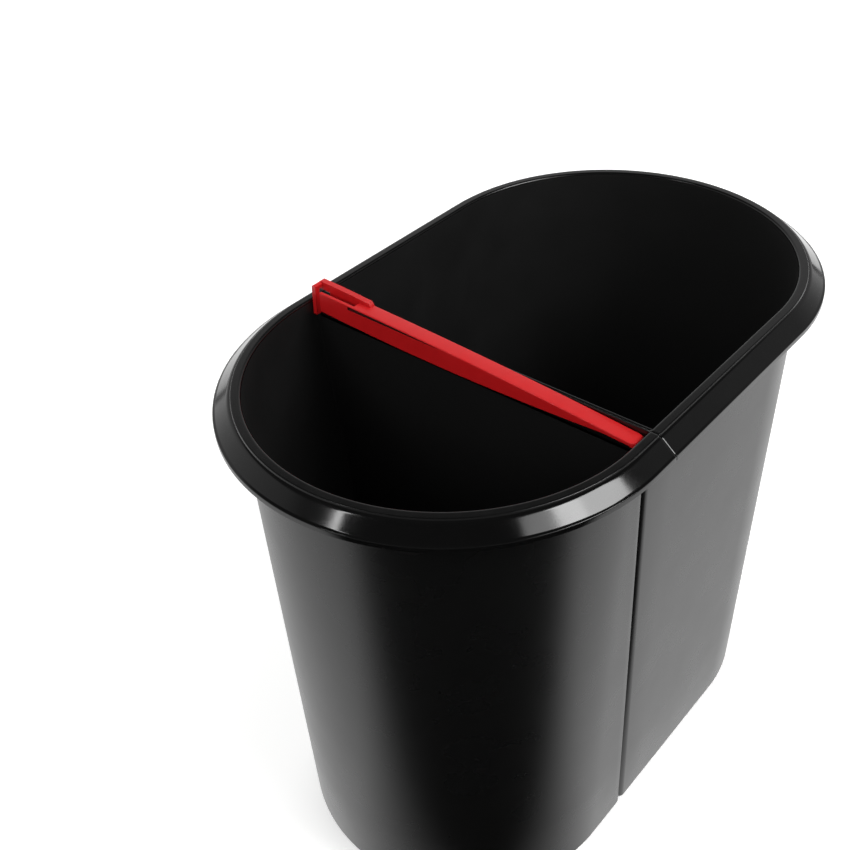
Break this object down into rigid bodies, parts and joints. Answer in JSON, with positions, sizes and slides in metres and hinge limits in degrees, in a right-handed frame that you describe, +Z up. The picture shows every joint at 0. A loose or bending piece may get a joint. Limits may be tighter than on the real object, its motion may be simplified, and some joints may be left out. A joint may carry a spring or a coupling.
{
  "type": "waste separation basket",
  "caption": "Oval indoor waste basket made of a large and a small open tub side by side, held together by a red hinged coupling bar over their dividing walls.",
  "frame": {"origin": "middle of the oval outline, on the floor", "axes": "+Z up, +Y along the oval towards the large tub, +X across it towards the bar's hinged end"},
  "size_m": [0.274, 0.4379, 0.3654],
  "materials": {
    "black_tub": "satin",
    "red_bar": "gloss"
  },
  "bodies": {
    "large_tub": {"rear_container": "black_tub"},
    "small_tub": {"front_container": "black_tub"},
    "bar": {"coupling_bar": "red_bar"}
  },
  "joints": [
    {"name": "small_tub_lift", "type": "slide", "parent": "large_tub", "child": "small_tub", "axis": [0, -0.0599, 0.9982], "range_m": [0, 0.38]},
    {"name": "bar_hinge", "type": "hinge", "parent": "small_tub", "child": "bar", "pos_m": [0.1134, -0.0669, 0.345], "axis": [0, 1, 0], "range_deg": [-2.9, 75]}
  ]
}
